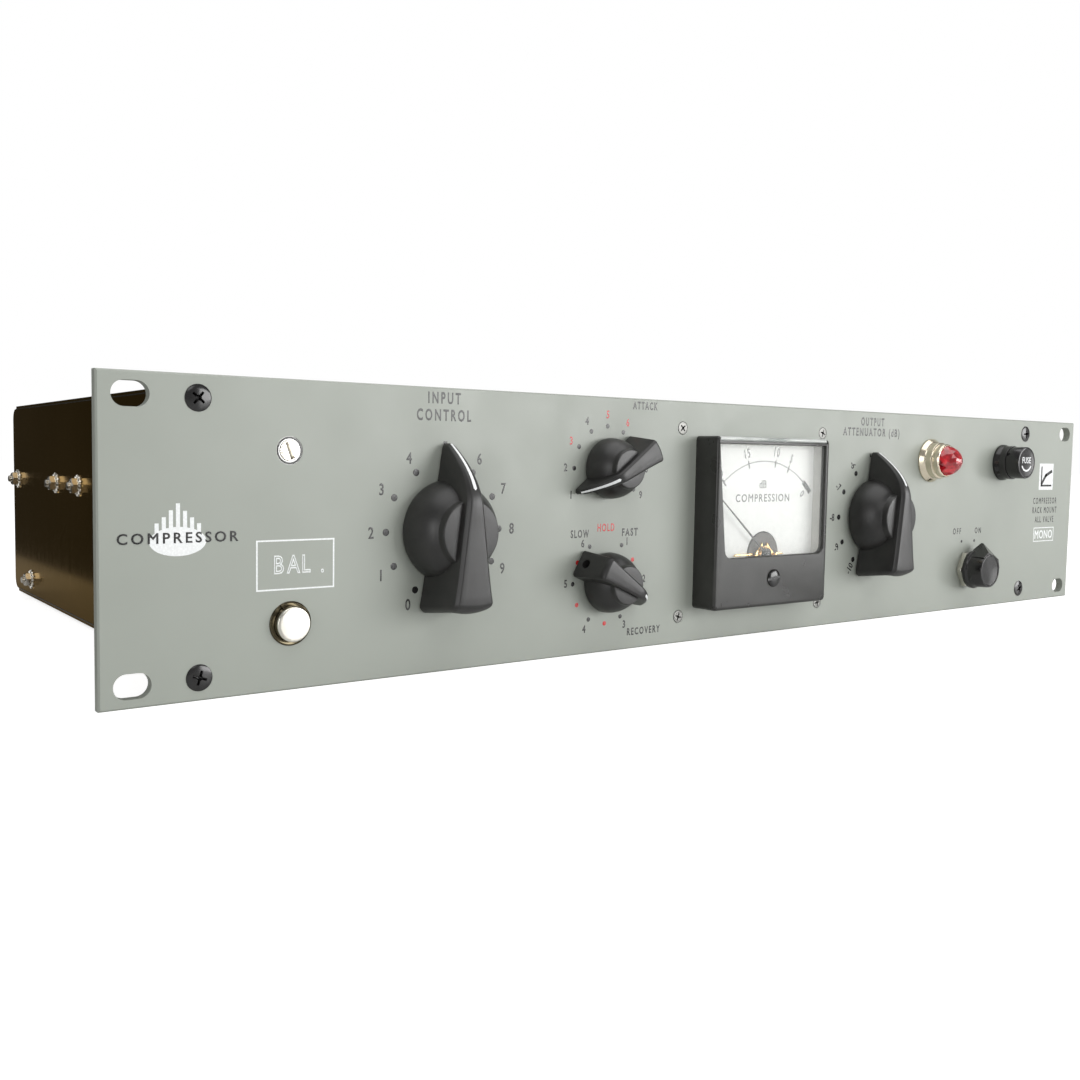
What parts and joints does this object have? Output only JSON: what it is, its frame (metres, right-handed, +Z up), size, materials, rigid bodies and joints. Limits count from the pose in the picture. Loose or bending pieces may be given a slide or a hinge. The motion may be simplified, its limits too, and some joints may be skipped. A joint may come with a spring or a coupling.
{
  "type": "rack compressor",
  "caption": "Rack-mount valve compressor: grey panel with pointer knobs, moving-pointer meter, jewel lamp and fuse, on a sheet-metal chassis.",
  "frame": {"origin": "centre of the four rack slots, on the rear (mounting) face of the front panel", "axes": "+Z up, +X to the right seen from the front, +Y rearwards into the rack"},
  "size_m": [0.4826, 0.2849, 0.0882],
  "materials": {
    "panel_paint": "satin grey paint with a fine texture",
    "bronze_plate": "dark bronze plated sheet, vertical brushing",
    "black_steel": "black oxide, semi-gloss",
    "knob_plastic": "satin moulded black",
    "black_plastic": "moulded black, soft gloss",
    "socket_plastic": "moulded black",
    "nickel": "bright nickel",
    "switch_body": "dull",
    "clear_acrylic": "clear, polished",
    "dial_card": "matt white",
    "needle_black": "black lacquer",
    "movement_brass": "machined",
    "red_jewel": "faceted, polished",
    "core_iron": "varnished laminations",
    "can_steel": "drawn screening can",
    "board_laminate": "glass-epoxy laminate",
    "clear_glass": "blown glass"
  },
  "bodies": {
    "chassis": {"front_panel": "panel_paint", "panel_screws": "black_steel", "left_side_plate": "bronze_plate", "right_side_plate": "bronze_plate", "rear_plate": "bronze_plate", "top_cover": "bronze_plate", "bottom_cover": "bronze_plate", "cover_screws": "black_steel", "inner_deck": "bronze_plate", "side_fasteners": "nickel", "input_attenuator": "switch_body", "output_attenuator": "switch_body", "attack_switch": "switch_body", "recovery_switch": "switch_body", "power_switch": "switch_body", "control_nuts": "nickel", "trimmer_body": "switch_body", "button_bushing": "black_steel", "button_spring": "nickel", "button_contact_block": "socket_plastic", "meter_case": "black_plastic", "meter_window": "clear_acrylic", "meter_dial": "dial_card", "meter_movement": "movement_brass", "meter_screws": "nickel", "meter_bracket": "bronze_plate", "jewel_lens": "red_jewel", "jewel_bezel": "nickel", "lamp_bulb": "clear_glass", "fuse_holder": "black_plastic", "power_inlet": "socket_plastic", "input_socket": "socket_plastic", "output_socket": "socket_plastic", "rear_screws": "black_steel", "power_transformer": "core_iron", "audio_transformers": "can_steel", "circuit_board": "board_laminate", "filter_capacitors": "socket_plastic", "vacuum_tubes": "clear_glass"},
    "input_control": {"input_knob": "knob_plastic", "input_set_screw": "black_steel", "input_shaft": "nickel"},
    "output_control": {"output_knob": "knob_plastic", "output_set_screw": "black_steel", "output_shaft": "nickel"},
    "attack_control": {"attack_knob": "knob_plastic", "attack_set_screw": "black_steel", "attack_shaft": "nickel"},
    "recovery_control": {"recovery_knob": "knob_plastic", "recovery_set_screw": "black_steel", "recovery_shaft": "nickel"},
    "power_control": {"power_knob": "knob_plastic", "power_shaft": "nickel"},
    "balance_trimmer": {"trimmer_shaft": "nickel"},
    "balance_button": {"button_cap": "nickel"},
    "meter_pointer": {"meter_needle": "needle_black"},
    "zero_adjuster": {"meter_zero_screw": "nickel"},
    "fuse_carrier": {"fuse_cartridge": "nickel"},
    "fuse_top": {"fuse_cap": "black_plastic"},
    "latch": {"socket_latch": "nickel"}
  },
  "joints": [
    {"name": "input_turn", "type": "hinge", "parent": "chassis", "child": "input_control", "pos_m": [-0.1367, -0.0032, 0.0001], "axis": [0, 1, 0], "range_deg": [-150, 150]},
    {"name": "output_turn", "type": "hinge", "parent": "chassis", "child": "output_control", "pos_m": [0.0762, -0.0032, 0.0002], "axis": [0, 1, 0], "range_deg": [-150, 150]},
    {"name": "attack_turn", "type": "hinge", "parent": "chassis", "child": "attack_control", "pos_m": [-0.0709, -0.0032, 0.0196], "axis": [0, 1, 0], "range_deg": [0, 240]},
    {"name": "recovery_turn", "type": "hinge", "parent": "chassis", "child": "recovery_control", "pos_m": [-0.0706, -0.0032, -0.0196], "axis": [0, 1, 0], "range_deg": [-90, 210]},
    {"name": "power_turn", "type": "hinge", "parent": "chassis", "child": "power_control", "pos_m": [0.15035, -0.0032, -0.0257], "axis": [0, 1, 0], "range_deg": [-45, 0]},
    {"name": "trimmer_turn", "type": "hinge", "parent": "chassis", "child": "balance_trimmer", "pos_m": [-0.18835, -0.0032, 0.02405], "axis": [0, 1, 0], "range_deg": [-150, 150]},
    {"name": "balance_press", "type": "slide", "parent": "chassis", "child": "balance_button", "axis": [0, 1, 0], "range_m": [0, 0.0022], "stiffness_N_per_m": 400, "springref_m": -0.002, "deforming": ["button_spring"]},
    {"name": "pointer_swing", "type": "hinge", "parent": "chassis", "child": "meter_pointer", "pos_m": [0.0038, -0.0032, -0.0125], "axis": [0, 1, 0], "range_deg": [0, 95], "stiffness_Nm_per_rad": 0.001, "springref_deg": -11.46},
    {"name": "zero_turn", "type": "hinge", "parent": "chassis", "child": "zero_adjuster", "pos_m": [0.0038, -0.0032, -0.0211], "axis": [0, 1, 0], "range_deg": [-60, 60]},
    {"name": "fuse_pull", "type": "slide", "parent": "chassis", "child": "fuse_carrier", "axis": [0, -1, 0], "range_m": [0, 0.05]},
    {"name": "fuse_turn", "type": "hinge", "parent": "fuse_carrier", "child": "fuse_top", "pos_m": [0.1764, -0.0032, 0.0236], "axis": [0, 1, 0], "range_deg": [-45, 0]},
    {"name": "latch_press", "type": "slide", "parent": "chassis", "child": "latch", "axis": [0, -1, 0], "range_m": [0, 0.0015], "stiffness_N_per_m": 500, "springref_m": -0.002}
  ]
}
